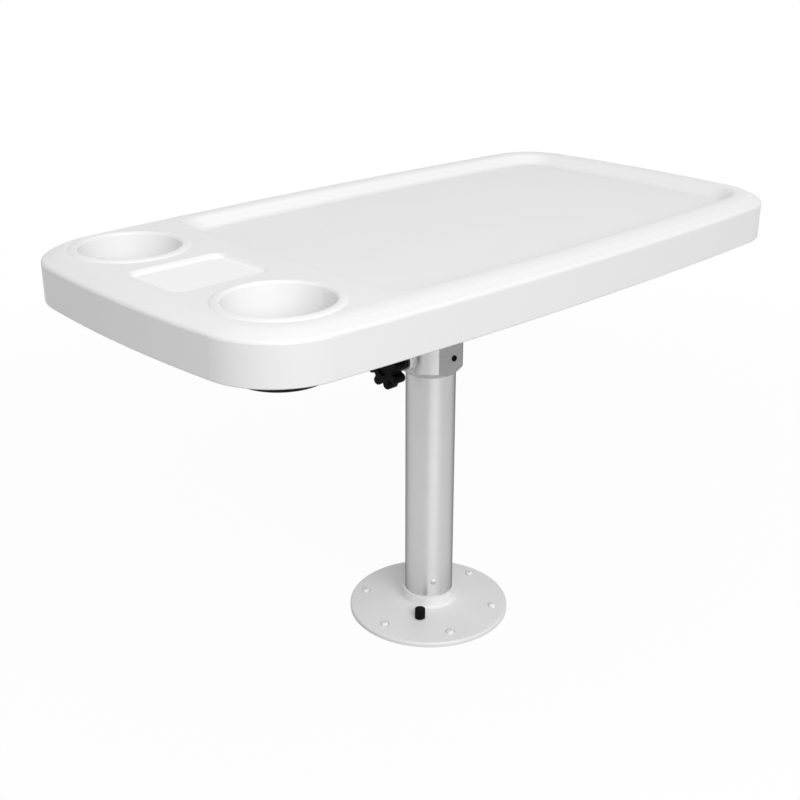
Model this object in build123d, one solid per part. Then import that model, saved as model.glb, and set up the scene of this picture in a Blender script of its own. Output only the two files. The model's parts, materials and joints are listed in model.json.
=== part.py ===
"""Single pole camper table: a moulded top with two cup wells on a telescoping, floor-mounted pole.

Millimetres, +Z up. The origin is on the floor at the pole's axis, and the cup end of the top points along -X.
The riser is modelled at its lowest setting.
"""
import os
from math import cos, radians, sin, sqrt

from build123d import *

# Clearances
RUN_FIT = 0.05            # radial gap of turning and sliding fits
SLIP = 0.1                # radial gap of pieces that are slipped together and then fixed
REST_GAP = 0.3            # gap between pieces that move apart
TOUCH = 1e-3              # levels closer than this count as one

# Table top: outline
TOP_LENGTH = 795.0        # between the sharp corners of the outline, along X
TOP_WIDTH = 413.0         # between the sharp corners of the outline, along Y
SIDE_CROWN = 15.0         # bulge of each long side
END_CROWN = 14.0          # bulge of each end
CORNER_R = 82.0

# Table top: moulded shell
TOP_THICKNESS = 51.0      # skirt edge to rim crest
SKIN = 4.0                # wall of the moulding
RIM_CROWN = 8.0           # rise of the rim from its outer edge to its crest
CROWN_RUN = 18.0          # outer edge to the crest
EDGE_R = 4.0              # rounding between skirt and rim
CREST_R = 30.0            # rounding of the crest
SKIRT_EDGE_R = 1.5        # rounding of the skirt's lower edge
FIELD_DEPTH = 13.0        # rim crest down to the main field
RIM_WIDTH = 33.0          # outer edge to the top of the rim's inner slope
RIM_SLOPE = 14.0          # run of the inner slope
RIM_BLEND_R = 9.0         # blends at the top and foot of the inner slope
PLATFORM_LENGTH = 185.0   # cup end to the step down to the field
FIELD_CORNER_R = 34.0     # field corners beside the platform

# Table top: cup wells and scoop
CUP_FROM_END = 93.8       # cup centres from the end of the top
CUP_SPACING = 247.0
CUP_MOUTH_R = 52.5
CUP_MOUTH_ROUND = 3.0     # rounding of the mouth
CUP_FLOOR_R = 44.0
CUP_DEPTH = 66.0          # rim crest to cup floor
CUP_FLOOR_BLEND = 10.0
CUP_WALL = 3.0
LIP_WIDTH = 10.5          # raised ring round each cup
LIP_INSIDE = 1.5          # start of the ring's curve inside the mouth
LIP_RISE = 2.4
SCOOP_LENGTH = 114.0
SCOOP_GAP = 15.0          # scoop from the rings round the cups
SCOOP_DEPTH = 4.0
SCOOP_SLOPE = 6.0
SCOOP_CORNER_R = 15.0
SCOOP_BLEND_R = 2.5

# Bottom pan
PAN_SETBACK = 4.0         # skirt edge up to the pan
PAN_THICKNESS = 4.0
PAN_GAP = 0.5             # pan to skirt, and well to cup
PAN_UPSTAND = 8.0
WELL_WALL = 3.0
PAN_SCREW_INSET = 19.0    # screws from the outer edge
PAN_SCREW_PITCH = 180.0   # along each long side
PAN_SCREWS_A_SIDE = 4
PAN_SCREW_R = 2.0
PAN_SCREW_REACH = 16.0
BOSS_R = 6.5

# Table mount
MOUNT_R = 90.0
MOUNT_PLATE = 5.0
MOUNT_HEIGHT = 55.0
MOUNT_HUB_R = 34.0
MOUNT_BUSH_WALL = 3.0
MOUNT_ROOF = 7.0
MOUNT_RIB = 6.0
MOUNT_PCD = 150.0
MOUNT_SCREWS = 6
MOUNT_SCREW_R = 2.7
MOUNT_SCREW_REACH = 18.0
PIVOT_R = 5.0
PIVOT_HEAD_R = 8.5
PIVOT_HEAD = 4.4
PIVOT_WASHER_R = 12.0
PIVOT_WASHER = 2.0
PIVOT_REACH = 26.0
THRUST_WASHER = 2.0

# Pole and riser
POLE_R = 30.0
POLE_WALL = 2.5
POLE_LENGTH = 366.0
RISER_R = 25.0
RISER_WALL = 2.5
RISER_SHOW = 33.0         # riser between collar and mount at the lowest setting
STOP_PLUG_Z = 38.0        # underside of the plug that stops the riser
STOP_PLUG_HEIGHT = 22.0
PLUG_SCREW_ANGLE = 238.0
PLUG_SCREW_R = 1.9
BUFFER_HEIGHT = 6.0
BUFFER_HOLE_R = 14.0
BUFFER_GAP = 0.5          # buffer to the pole's bore
FOOT_HEIGHT = 40.0
FOOT_FLOOR = 3.0
TOP_PLUG_HEIGHT = 30.0
TOP_PLUG_FLANGE = 3.0
TOP_PLUG_SCREW_R = 1.8

# Clamp collar and knob
COLLAR_R = 38.0
COLLAR_HEIGHT = 50.0
COLLAR_LIP = 4.0
COLLAR_TAPER = 7.0        # height of the tapered lower edge
COLLAR_FLAT = 33.0        # flats from the axis, along Y
COLLAR_EDGE = 1.2
BUSH_FLANGE = 2.0
BUSH_LENGTH = 40.0
KNOB_ABOVE = 22.0         # stud axis above the collar's lower edge
SET_SCREW_ABOVE = 21.0
SET_SCREW_ASIDE = 5.5     # from the middle of the flat
SET_SCREW_R = 2.5
SET_SCREW_ANGLES = (90, 270)
STUD_R = 4.0
STUD_BOSS_R = 13.0
STUD_BOSS_REACH = 46.0    # end of the boss from the pole's axis
PAD_R = 4.6
PAD_LENGTH = 2.6
KNOB_GAP = 1.0
KNOB_NECK_R = 10.0
KNOB_NECK = 16.0
KNOB_HEAD = 16.0
KNOB_CORE_R = 17.5
KNOB_LOBE_R = 5.6
KNOB_VALLEY_R = 2.0       # blend between lobes
KNOB_R = 26.0
KNOB_LOBES = 8
KNOB_TURN = 17.0          # turn of the first lobe from upright, in degrees
KNOB_EDGE_R = 2.5
KNOB_HOLLOW_R = 9.0

# Base
BASE_R = 100.5
BASE_EDGE = 6.0           # height of the rim
BASE_RISE = 14.0          # height of the dish at the hub
BASE_WALL = 4.0
BASE_FOOT = 6.0           # width of the ring that stands on the floor
HUB_WALL = 3.0
HUB_TOP = 28.6
HUB_BLEND_R = 4.0
SOCKET_FLOOR = 2.0
SOCKET_HOLE_R = 22.0
BASE_HOLES = 6
BASE_PCD = 165.0
BASE_HOLE_R = 2.8
BASE_BOSS_R = 7.0
BASE_SEAT_R = 6.2         # spot face under a floor screw's head
BASE_SEAT_DEPTH = 0.4     # at its outer side
BASE_RIB = 4.0
BASE_TURN = 4.0           # turn of the base against the table, in degrees

# Latch in the base
LATCH_FROM_HOLE = 30.0    # degrees past a floor screw
LATCH_HOLE_INDEX = 3
LATCH_TRAVEL = 6.0
LATCH_Z = 4.5             # underside of the bolt
BOLT_WIDTH = 10.0
BOLT_THICKNESS = 3.0
BOLT_INTO_POLE = 2.0      # reach past the pole's inner wall
POST_RHO = 54.0           # thumb post from the pole's axis
POST_R = 6.5
POST_TOP_R = 6.0
POST_TOP_Z = 25.0
POST_STEM_R = 2.5
POST_GAP = 0.5            # post above the dish
BOLT_TAIL = 6.0           # bolt beyond the post's axis
SPRING_ROOM = 12.0
SPRING_WIRE_R = 0.35
SPRING_TURNS = 6
CHANNEL_WALL = 7.0
KEEPER_THICKNESS = 1.8
KEEPER_SCREW_R = 1.4

# Screw heads
SCREW_HEAD_RATIO = 1.9    # head radius over shank radius
SCREW_HEAD_ROUND = 0.6    # rounding over head height
SCREW_HEAD_HEIGHT = 2.4
SMALL_HEAD_HEIGHT = 1.3

# Levels worked out from the floor up
POLE_BORE_R = POLE_R - POLE_WALL
RISER_BORE_R = RISER_R - RISER_WALL
POLE_TOP = SOCKET_FLOOR + POLE_LENGTH
COLLAR_TOP = POLE_TOP + BUSH_FLANGE + COLLAR_LIP
COLLAR_BOTTOM = COLLAR_TOP - COLLAR_HEIGHT
KNOB_Z = COLLAR_BOTTOM + KNOB_ABOVE
SET_SCREW_Z = COLLAR_BOTTOM + SET_SCREW_ABOVE
MOUNT_BOTTOM = COLLAR_TOP + RISER_SHOW
MOUNT_TOP = MOUNT_BOTTOM + MOUNT_HEIGHT
PLATE_BOTTOM = MOUNT_TOP - MOUNT_PLATE
ROOF_TOP = MOUNT_TOP - PIVOT_HEAD - PIVOT_WASHER - 2 * REST_GAP
ROOF_BOTTOM = ROOF_TOP - MOUNT_ROOF
WASHER_BOTTOM = ROOF_BOTTOM - REST_GAP - THRUST_WASHER
RISER_TOP = WASHER_BOTTOM - TOP_PLUG_FLANGE
PAN_Z = MOUNT_TOP
PAN_TOP = PAN_Z + PAN_THICKNESS
SKIRT_Z = PAN_Z - PAN_SETBACK
CREST_Z = SKIRT_Z + TOP_THICKNESS
FIELD_Z = CREST_Z - FIELD_DEPTH
CUP_FLOOR_Z = CREST_Z - CUP_DEPTH
STOP_Z = STOP_PLUG_Z + STOP_PLUG_HEIGHT
FOOT_Z = STOP_Z + BUFFER_HEIGHT + REST_GAP
RISER_Z = FOOT_Z + FOOT_FLOOR
PLUG_SCREW_Z = STOP_PLUG_Z + STOP_PLUG_HEIGHT / 2

# Places worked out in plan
END_X = TOP_LENGTH / 2 + END_CROWN
SIDE_Y = TOP_WIDTH / 2 + SIDE_CROWN
STEP_X = PLATFORM_LENGTH - END_X
CUP_X = CUP_FROM_END - END_X
SCOOP_WIDTH = CUP_SPACING - 2 * (CUP_MOUTH_R + LIP_WIDTH + SCOOP_GAP)
CUP_PLACES = [(CUP_X, side * CUP_SPACING / 2) for side in (-1, 1)]
SOCKET_R = POLE_R + SLIP
HUB_R = SOCKET_R + HUB_WALL
LATCH_ANGLE = BASE_TURN + LATCH_HOLE_INDEX * 360.0 / BASE_HOLES + LATCH_FROM_HOLE
BOLT_TIP = POLE_BORE_R - BOLT_INTO_POLE
BOLT_END = POST_RHO + BOLT_TAIL
CHANNEL_END = BOLT_END + SPRING_ROOM
CHANNEL_Z = LATCH_Z - REST_GAP
CHANNEL_TOP = LATCH_Z + BOLT_THICKNESS + REST_GAP
CHANNEL_WIDTH = BOLT_WIDTH + 2 * REST_GAP
KNOB_START = STUD_BOSS_REACH + KNOB_GAP
KNOB_FACE = KNOB_START + KNOB_NECK

UP = (Align.CENTER, Align.CENTER, Align.MIN)
FROM_X = (Align.MIN, Align.CENTER, Align.CENTER)
ALONG_MINUS_X = Rot(0, -90, 0)


# Shared shapes

def tube(outer, inner, low, high):
    """Ring on the Z axis."""
    return Pos(0, 0, low) * (Cylinder(outer, high - low, align=UP) - Cylinder(inner, high - low, align=UP))


def disc(radius, low, high):
    """Cylinder on the Z axis."""
    return Pos(0, 0, low) * Cylinder(radius, high - low, align=UP)


def turned(*points):
    """Solid of revolution about Z from (radius, height) corners."""
    return revolve(Plane.XZ * make_face(Polyline(*points, close=True)), Axis.Z)


def radial(angle, shape):
    """Turn a shape drawn along +Z so that it lies along a horizontal radius."""
    return Rot(0, 0, angle) * Rot(0, 90, 0) * shape


def screw(radius, head_height, reach):
    """Pan head screw: the head's bearing face is at zero, the shank points along +Z."""
    head_r = radius * SCREW_HEAD_RATIO
    head = Pos(0, 0, -head_height) * Cylinder(head_r, head_height, align=UP)
    head = fillet(head.edges().group_by(Axis.Z)[0], head_height * SCREW_HEAD_ROUND)
    return head + Cylinder(radius, reach, align=UP)


def edges_at(shape, height, inside):
    """Edges that lie flat at a height and whose middle passes a test in plan."""
    flat = shape.edges().filter_by_position(Axis.Z, height - TOUCH, height + TOUCH)
    return [edge for edge in flat if inside(edge.center(CenterOf.BOUNDING_BOX))]


def crown_radius(chord, rise):
    """Radius of an arc from its chord and its rise."""
    return (chord ** 2 / 4 + rise ** 2) / (2 * rise)


def outline(inset=0.0):
    """Plan of the top: four crowned sides with round corners, moved in by an inset."""
    side_r = crown_radius(TOP_LENGTH, SIDE_CROWN)
    end_r = crown_radius(TOP_WIDTH, END_CROWN)
    side_disc = Pos(0, SIDE_Y - side_r) * Circle(side_r - inset)
    end_disc = Pos(END_X - end_r, 0) * Rot(0, 0, 90) * Circle(end_r - inset)
    half_turn = Rot(0, 0, 180)
    plan = side_disc & (half_turn * side_disc) & end_disc & (half_turn * end_disc)
    return fillet(plan.vertices(), CORNER_R - inset)


def field_plan(inset):
    """Plan of the main field: the outline less a rim, cut off straight beside the cup platform."""
    edge_x = STEP_X + inset - RIM_WIDTH
    keep = Pos(edge_x, 0) * Rectangle(2 * TOP_LENGTH, 2 * TOP_WIDTH, align=(Align.MIN, Align.CENTER))
    plan = outline(inset) & keep
    corners = plan.vertices().group_by(Axis.X)[0]
    return fillet(corners, FIELD_CORNER_R)


def side_y(x):
    """Half width of the top at a distance along its length."""
    radius = crown_radius(TOP_LENGTH, SIDE_CROWN)
    return SIDE_Y - radius + sqrt(radius ** 2 - x ** 2)


def pan_screw_places():
    """Screws along both long sides, and one at each end."""
    places = [(side * (END_X - PAN_SCREW_INSET), 0) for side in (-1, 1)]
    for i in range(PAN_SCREWS_A_SIDE):
        x = (i - (PAN_SCREWS_A_SIDE - 1) / 2) * PAN_SCREW_PITCH
        places += [(x, side * (side_y(x) - PAN_SCREW_INSET)) for side in (-1, 1)]
    return places


def mount_screw_places():
    """Screws on a circle round the pole."""
    step = radians(360 / MOUNT_SCREWS)
    return [(MOUNT_PCD / 2 * cos(i * step), MOUNT_PCD / 2 * sin(i * step)) for i in range(MOUNT_SCREWS)]


# Table top

def cup_radius(z):
    """Inner radius of a cup at a height."""
    return CUP_FLOOR_R + (CUP_MOUTH_R - CUP_FLOOR_R) * (z - CUP_FLOOR_Z) / CUP_DEPTH


def cup_form(growth, top):
    """Solid that fills a cup, grown on its sides and floor."""
    low = CUP_FLOOR_Z - growth
    form = turned((0, low), (cup_radius(low) + growth, low), (cup_radius(top) + growth, top), (0, top))
    return fillet(form.edges().group_by(Axis.Z)[0], CUP_FLOOR_BLEND)


def cup_lip():
    """Raised round ring at a cup's mouth."""
    inner = CUP_MOUTH_R - LIP_INSIDE
    outer = CUP_MOUTH_R + LIP_WIDTH
    low = CREST_Z - SKIN
    crown = ThreePointArc((inner, CREST_Z), ((inner + outer) / 2, CREST_Z + LIP_RISE), (outer, CREST_Z))
    sides = Polyline((outer, CREST_Z), (outer, low), (inner, low), (inner, CREST_Z))
    return revolve(Plane.XZ * make_face(Curve() + [crown, sides]), Axis.Z)


def scoop_form(growth):
    """Shallow rectangular scoop between the cups, grown on its sides and floor."""
    def section(inset):
        plan = Rectangle(SCOOP_LENGTH + 2 * (growth - inset), SCOOP_WIDTH + 2 * (growth - inset))
        return fillet(plan.vertices(), SCOOP_CORNER_R + growth - inset)

    low = Pos(0, 0, -SCOOP_DEPTH - growth) * section(SCOOP_SLOPE)
    form = loft([low, section(0)])
    return Pos(CUP_X, 0, CREST_Z) * fillet(form.edges().group_by(Axis.Z)[0], SCOOP_BLEND_R)


def rim_form(inset):
    """Solid of the whole top under its crowned rim, with the outside moved in."""
    edge_z = CREST_Z - RIM_CROWN - inset
    skirt = Pos(0, 0, SKIRT_Z) * extrude(outline(inset), edge_z - SKIRT_Z)
    edge = Pos(0, 0, edge_z) * outline(inset)
    crest = Pos(0, 0, CREST_Z - inset) * outline(CROWN_RUN)
    return skirt + loft([edge, crest])


def top_shell():
    """White moulding: skirt, crowned rim, sunk field, cup platform, cups, scoop and screw bosses."""
    shell = rim_form(0)
    shell = fillet(shell.edges().group_by(Axis.Z)[-1], CREST_R)
    shell = fillet(edges_at(shell, CREST_Z - RIM_CROWN, lambda point: True), EDGE_R)
    shell = fillet(shell.edges().group_by(Axis.Z)[0], SKIRT_EDGE_R)

    foot = Pos(0, 0, FIELD_Z) * field_plan(RIM_WIDTH + RIM_SLOPE)
    crest = Pos(0, 0, CREST_Z) * field_plan(RIM_WIDTH)
    shell -= loft([foot, crest])
    within = field_plan(RIM_WIDTH - 2 * SKIN).bounding_box()

    def in_field(point):
        return within.min.X < point.X < within.max.X and within.min.Y < point.Y < within.max.Y

    shell = fillet(edges_at(shell, FIELD_Z, in_field), RIM_BLEND_R)
    shell = fillet(edges_at(shell, CREST_Z, in_field), RIM_BLEND_R)

    sunk = Pos(0, 0, FIELD_Z - SKIN) * extrude(field_plan(RIM_WIDTH - SKIN), FIELD_DEPTH)
    shell -= rim_form(SKIN) - sunk

    for x, y in CUP_PLACES:
        shell += Pos(x, y) * cup_form(CUP_WALL, CREST_Z - SKIN / 2)
        shell += Pos(x, y) * cup_lip()
    shell += scoop_form(SKIN)
    for x, y in pan_screw_places():
        shell += Pos(x, y) * disc(BOSS_R, PAN_TOP, CREST_Z - SKIN)
    for x, y in mount_screw_places():
        shell += Pos(x, y) * disc(BOSS_R, PAN_TOP, FIELD_Z - SKIN)

    def at_scoop(point):
        return abs(point.X - CUP_X) < SCOOP_LENGTH and abs(point.Y) <= SCOOP_WIDTH / 2 + SLIP

    shell -= scoop_form(0)
    shell = fillet(edges_at(shell, CREST_Z, at_scoop), SCOOP_BLEND_R)
    for x, y in CUP_PLACES:
        shell -= Pos(x, y) * cup_form(0, CREST_Z + 2 * LIP_RISE)
    mouths = [edge for edge in shell.edges().filter_by(GeomType.CIRCLE)
              if edge.center().Z > CREST_Z and abs(edge.radius - CUP_MOUTH_R) < LIP_RISE]
    shell = fillet(mouths, CUP_MOUTH_ROUND)
    for x, y in pan_screw_places():
        shell -= Pos(x, y) * disc(PAN_SCREW_R + RUN_FIT, PAN_TOP, PAN_Z + PAN_SCREW_REACH + REST_GAP)
    for x, y in mount_screw_places():
        shell -= Pos(x, y) * disc(MOUNT_SCREW_R + RUN_FIT, PAN_TOP, PLATE_BOTTOM + MOUNT_SCREW_REACH + REST_GAP)
    return shell


def bottom_pan():
    """Black pan that closes the moulding, with a well round each cup."""
    gap = SKIN + PAN_GAP
    pan = Pos(0, 0, PAN_Z) * extrude(outline(gap), PAN_THICKNESS)
    upstand = outline(gap) - outline(gap + WELL_WALL)
    pan += Pos(0, 0, PAN_TOP) * extrude(upstand, PAN_UPSTAND)
    for x, y in CUP_PLACES:
        pan += Pos(x, y) * cup_form(CUP_WALL + PAN_GAP + WELL_WALL, PAN_TOP)
    for x, y in CUP_PLACES:
        pan -= Pos(x, y) * cup_form(CUP_WALL + PAN_GAP, PAN_TOP + PAN_UPSTAND)
    for x, y in pan_screw_places():
        pan -= Pos(x, y) * disc(PAN_SCREW_R + SLIP, PAN_Z, PAN_TOP)
    for x, y in mount_screw_places():
        pan -= Pos(x, y) * disc(MOUNT_SCREW_R + SLIP, PAN_Z, PAN_TOP)
    return pan


def pan_screws():
    """Screws that hold the pan to the moulding."""
    one = Pos(0, 0, PAN_Z) * screw(PAN_SCREW_R, SCREW_HEAD_HEIGHT, PAN_SCREW_REACH)
    return [Pos(x, y) * one for x, y in pan_screw_places()]


# Table mount

def mount_plate():
    """Cast plate with a ribbed hub that turns on the riser."""
    bore = RISER_R + RUN_FIT + MOUNT_BUSH_WALL + SLIP
    plate = disc(MOUNT_R, PLATE_BOTTOM, MOUNT_TOP) + disc(MOUNT_HUB_R, MOUNT_BOTTOM, MOUNT_TOP)
    rib_face = make_face(Polyline(
        (MOUNT_HUB_R - MOUNT_BUSH_WALL / 2, MOUNT_BOTTOM + MOUNT_PLATE),
        (MOUNT_R - MOUNT_RIB, PLATE_BOTTOM),
        (MOUNT_HUB_R - MOUNT_BUSH_WALL / 2, PLATE_BOTTOM), close=True))
    rib = extrude(Plane.XZ * rib_face, MOUNT_RIB / 2, both=True)
    half_step = 180 / MOUNT_SCREWS
    for i in range(MOUNT_SCREWS):
        plate += Rot(0, 0, half_step + 2 * half_step * i) * rib
    plate -= disc(bore, MOUNT_BOTTOM, ROOF_BOTTOM)
    plate -= disc(PIVOT_R + RUN_FIT, ROOF_BOTTOM, ROOF_TOP)
    plate -= disc(PIVOT_WASHER_R + 2 * REST_GAP, ROOF_TOP, MOUNT_TOP)
    for x, y in mount_screw_places():
        plate -= Pos(x, y) * disc(MOUNT_SCREW_R + SLIP, PLATE_BOTTOM, MOUNT_TOP)
    return plate


def mount_bush():
    """Plastic sleeve between the hub and the riser."""
    bore = RISER_R + RUN_FIT
    return tube(bore + MOUNT_BUSH_WALL, bore, MOUNT_BOTTOM, RISER_TOP)


def mount_screws():
    """Screws through plate and pan into the moulding."""
    one = Pos(0, 0, PLATE_BOTTOM) * screw(MOUNT_SCREW_R, SCREW_HEAD_HEIGHT, MOUNT_SCREW_REACH)
    return [Pos(x, y) * one for x, y in mount_screw_places()]


def pivot_bolt():
    """Hexagon head bolt that holds the mount down on the riser."""
    head_low = ROOF_TOP + REST_GAP + PIVOT_WASHER
    head = Pos(0, 0, head_low) * extrude(RegularPolygon(PIVOT_HEAD_R, 6), PIVOT_HEAD)
    return head + disc(PIVOT_R, RISER_TOP - PIVOT_REACH, head_low)


def pivot_washer():
    """Washer under the bolt's head."""
    low = ROOF_TOP + REST_GAP
    return tube(PIVOT_WASHER_R, PIVOT_R + SLIP, low, low + PIVOT_WASHER)


# Riser

def inner_tube():
    """Riser tube that carries the table."""
    riser = tube(RISER_R, RISER_BORE_R, RISER_Z, RISER_TOP)
    hole = Cylinder(TOP_PLUG_SCREW_R + SLIP, 2 * RISER_R + RISER_WALL)
    return riser - Pos(0, 0, RISER_TOP - TOP_PLUG_HEIGHT / 2) * Rot(90, 0, 0) * hole


def top_plug():
    """Plug in the top of the riser, bored for the pivot bolt."""
    body = disc(RISER_BORE_R - SLIP, RISER_TOP - TOP_PLUG_HEIGHT, RISER_TOP)
    plug = body + disc(RISER_R - SLIP, RISER_TOP, WASHER_BOTTOM)
    plug -= disc(PIVOT_R + RUN_FIT, RISER_TOP - TOP_PLUG_HEIGHT, WASHER_BOTTOM)
    hole = Cylinder(TOP_PLUG_SCREW_R + RUN_FIT, 2 * RISER_R)
    return plug - Pos(0, 0, RISER_TOP - TOP_PLUG_HEIGHT / 2) * Rot(90, 0, 0) * hole


def top_plug_screws():
    """Two headless screws through the riser into the plug, flush with the riser."""
    depth = RISER_R - PIVOT_R - 2 * RISER_WALL
    one = Pos(0, 0, PIVOT_R + RISER_WALL) * Cylinder(TOP_PLUG_SCREW_R, depth + RISER_WALL - REST_GAP, align=UP)
    height = Pos(0, 0, RISER_TOP - TOP_PLUG_HEIGHT / 2)
    return [height * radial(angle, one) for angle in (90, 270)]


def thrust_washer():
    """Plastic washer on which the mount turns."""
    return tube(RISER_R - SLIP, PIVOT_R + SLIP, WASHER_BOTTOM, WASHER_BOTTOM + THRUST_WASHER)


def foot_bush():
    """Plastic guide on the riser's foot, running in the pole."""
    guide = tube(POLE_BORE_R - RUN_FIT, RISER_R + SLIP, FOOT_Z, FOOT_Z + FOOT_HEIGHT)
    return guide + tube(POLE_BORE_R - RUN_FIT, BUFFER_HOLE_R, FOOT_Z, RISER_Z)


# Pole

def outer_tube():
    """Pole, with holes for the latch bolt, the clamp pad and the plug screws."""
    pole = tube(POLE_R, POLE_BORE_R, SOCKET_FLOOR, POLE_TOP)
    slot = Box(POLE_R, CHANNEL_WIDTH, CHANNEL_TOP - CHANNEL_Z, align=FROM_X)
    pole -= Rot(0, 0, LATCH_ANGLE) * Pos(BOLT_TIP - REST_GAP, 0, (CHANNEL_Z + CHANNEL_TOP) / 2) * slot
    pole -= Pos(0, 0, KNOB_Z) * ALONG_MINUS_X * Cylinder(PAD_R + SLIP, POLE_R + POLE_WALL, align=UP)
    hole = Cylinder(PLUG_SCREW_R + SLIP, 2 * POLE_R + POLE_WALL)
    return pole - Pos(0, 0, PLUG_SCREW_Z) * radial(PLUG_SCREW_ANGLE, hole)


def stop_plug():
    """Plug in the pole that stops the riser."""
    plug = tube(POLE_BORE_R - SLIP, BUFFER_HOLE_R / 2, STOP_PLUG_Z, STOP_Z)
    hole = Cylinder(PLUG_SCREW_R + RUN_FIT, 2 * POLE_R)
    return plug - Pos(0, 0, PLUG_SCREW_Z) * radial(PLUG_SCREW_ANGLE, hole)


def plug_screws():
    """Two pan head screws through the pole into the stop plug."""
    reach = POLE_R - BUFFER_HOLE_R
    inward = Pos(0, 0, POLE_R) * Rot(180, 0, 0) * screw(PLUG_SCREW_R, SMALL_HEAD_HEIGHT, reach)
    return [Pos(0, 0, PLUG_SCREW_Z) * radial(PLUG_SCREW_ANGLE + turn, inward) for turn in (0, 180)]


def stop_buffer():
    """Rubber ring on the stop plug."""
    return tube(POLE_BORE_R - BUFFER_GAP, BUFFER_HOLE_R, STOP_Z, STOP_Z + BUFFER_HEIGHT)


# Clamp collar

def clamp_collar():
    """Cast collar over the pole's top, with a boss for the stud and two flats for set screws."""
    bore = POLE_R + SLIP
    lip_r = RISER_R + 2 * REST_GAP
    lip_z = COLLAR_TOP - COLLAR_LIP
    collar = turned(
        (bore, COLLAR_BOTTOM), (bore + COLLAR_EDGE, COLLAR_BOTTOM), (COLLAR_R, COLLAR_BOTTOM + COLLAR_TAPER),
        (COLLAR_R, COLLAR_TOP - COLLAR_EDGE), (COLLAR_R - COLLAR_EDGE, COLLAR_TOP), (lip_r, COLLAR_TOP),
        (lip_r, lip_z), (bore, lip_z))
    side = Pos(0, COLLAR_FLAT, COLLAR_BOTTOM) * Box(
        2 * COLLAR_R, COLLAR_R, COLLAR_HEIGHT, align=(Align.CENTER, Align.MIN, Align.MIN))
    collar -= side
    collar -= Rot(0, 0, 180) * side
    boss = Pos(0, 0, KNOB_Z) * ALONG_MINUS_X * Cylinder(STUD_BOSS_R, STUD_BOSS_REACH, align=UP)
    boss = fillet(boss.edges().group_by(Axis.X)[0], COLLAR_EDGE)
    collar += boss - disc(bore, COLLAR_BOTTOM, lip_z)
    collar -= Pos(0, 0, KNOB_Z) * ALONG_MINUS_X * Cylinder(STUD_R + RUN_FIT, 2 * COLLAR_R, align=UP)
    for angle in SET_SCREW_ANGLES:
        collar -= set_screw_place(angle) * Cylinder(SET_SCREW_R + RUN_FIT, COLLAR_R, align=UP)
    return collar


def set_screw_place(angle):
    """Place of a set screw, which points straight out of a flat."""
    return Pos(0, 0, SET_SCREW_Z) * Rot(0, 0, angle) * Rot(0, 90, 0) * Pos(0, SET_SCREW_ASIDE, 0)


def collar_screws():
    """Two set screws with hexagon sockets, one in each flat."""
    length = COLLAR_FLAT - POLE_R - REST_GAP
    socket = Pos(0, 0, length / 2) * extrude(RegularPolygon(SET_SCREW_R / 2, 6), length)
    one = Pos(0, 0, POLE_R) * (Cylinder(SET_SCREW_R, length, align=UP) - socket)
    return [set_screw_place(angle) * one for angle in SET_SCREW_ANGLES]


def guide_bush():
    """Flanged plastic bush in the top of the pole."""
    bore = RISER_R + RUN_FIT
    bush = tube(POLE_BORE_R - SLIP, bore, POLE_TOP - BUSH_LENGTH, POLE_TOP)
    bush += tube(POLE_R, bore, POLE_TOP, POLE_TOP + BUSH_FLANGE)
    return bush - Pos(0, 0, KNOB_Z) * ALONG_MINUS_X * Cylinder(PAD_R + SLIP, POLE_R, align=UP)


def clamp_pad():
    """Plastic pad that the stud presses on the riser."""
    pad = Pos(0, 0, KNOB_Z) * ALONG_MINUS_X * Cylinder(PAD_R, RISER_R + REST_GAP + PAD_LENGTH, align=UP)
    return pad - disc(RISER_R + REST_GAP, COLLAR_BOTTOM, COLLAR_TOP)


def clamp_stud():
    """Steel stud moulded into the knob."""
    start = RISER_R + 2 * REST_GAP + PAD_LENGTH
    return Pos(-start, 0, KNOB_Z) * ALONG_MINUS_X * Cylinder(STUD_R, KNOB_FACE + KNOB_HEAD / 2 - start, align=UP)


def knob_head():
    """Lobed hand knob with a neck and a hollow in its face."""
    plan = Circle(KNOB_CORE_R)
    for place in PolarLocations(KNOB_R - KNOB_LOBE_R, KNOB_LOBES, start_angle=KNOB_TURN):
        plan += place * Circle(KNOB_LOBE_R)
    plan = fillet(plan.vertices(), KNOB_VALLEY_R)
    head = extrude(plan, KNOB_HEAD)
    head = fillet(head.edges().group_by(Axis.Z)[-1] + head.edges().group_by(Axis.Z)[0], KNOB_EDGE_R)
    neck = Pos(0, 0, -KNOB_NECK) * Cylinder(KNOB_NECK_R, KNOB_NECK + KNOB_EDGE_R, align=UP)
    knob = head + neck
    knob -= Pos(0, 0, KNOB_HEAD - KNOB_EDGE_R) * Cylinder(KNOB_HOLLOW_R, KNOB_EDGE_R, align=UP)
    knob -= Pos(0, 0, -KNOB_NECK) * Cylinder(STUD_R + RUN_FIT, KNOB_NECK + KNOB_HEAD / 2 + REST_GAP, align=UP)
    return Pos(-KNOB_FACE, 0, KNOB_Z) * ALONG_MINUS_X * knob


# Base

def dish_z(rho):
    """Height of the base's top at a distance from the pole's axis."""
    return BASE_RISE - (BASE_RISE - BASE_EDGE) * (rho - HUB_R) / (BASE_R - HUB_R)


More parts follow.
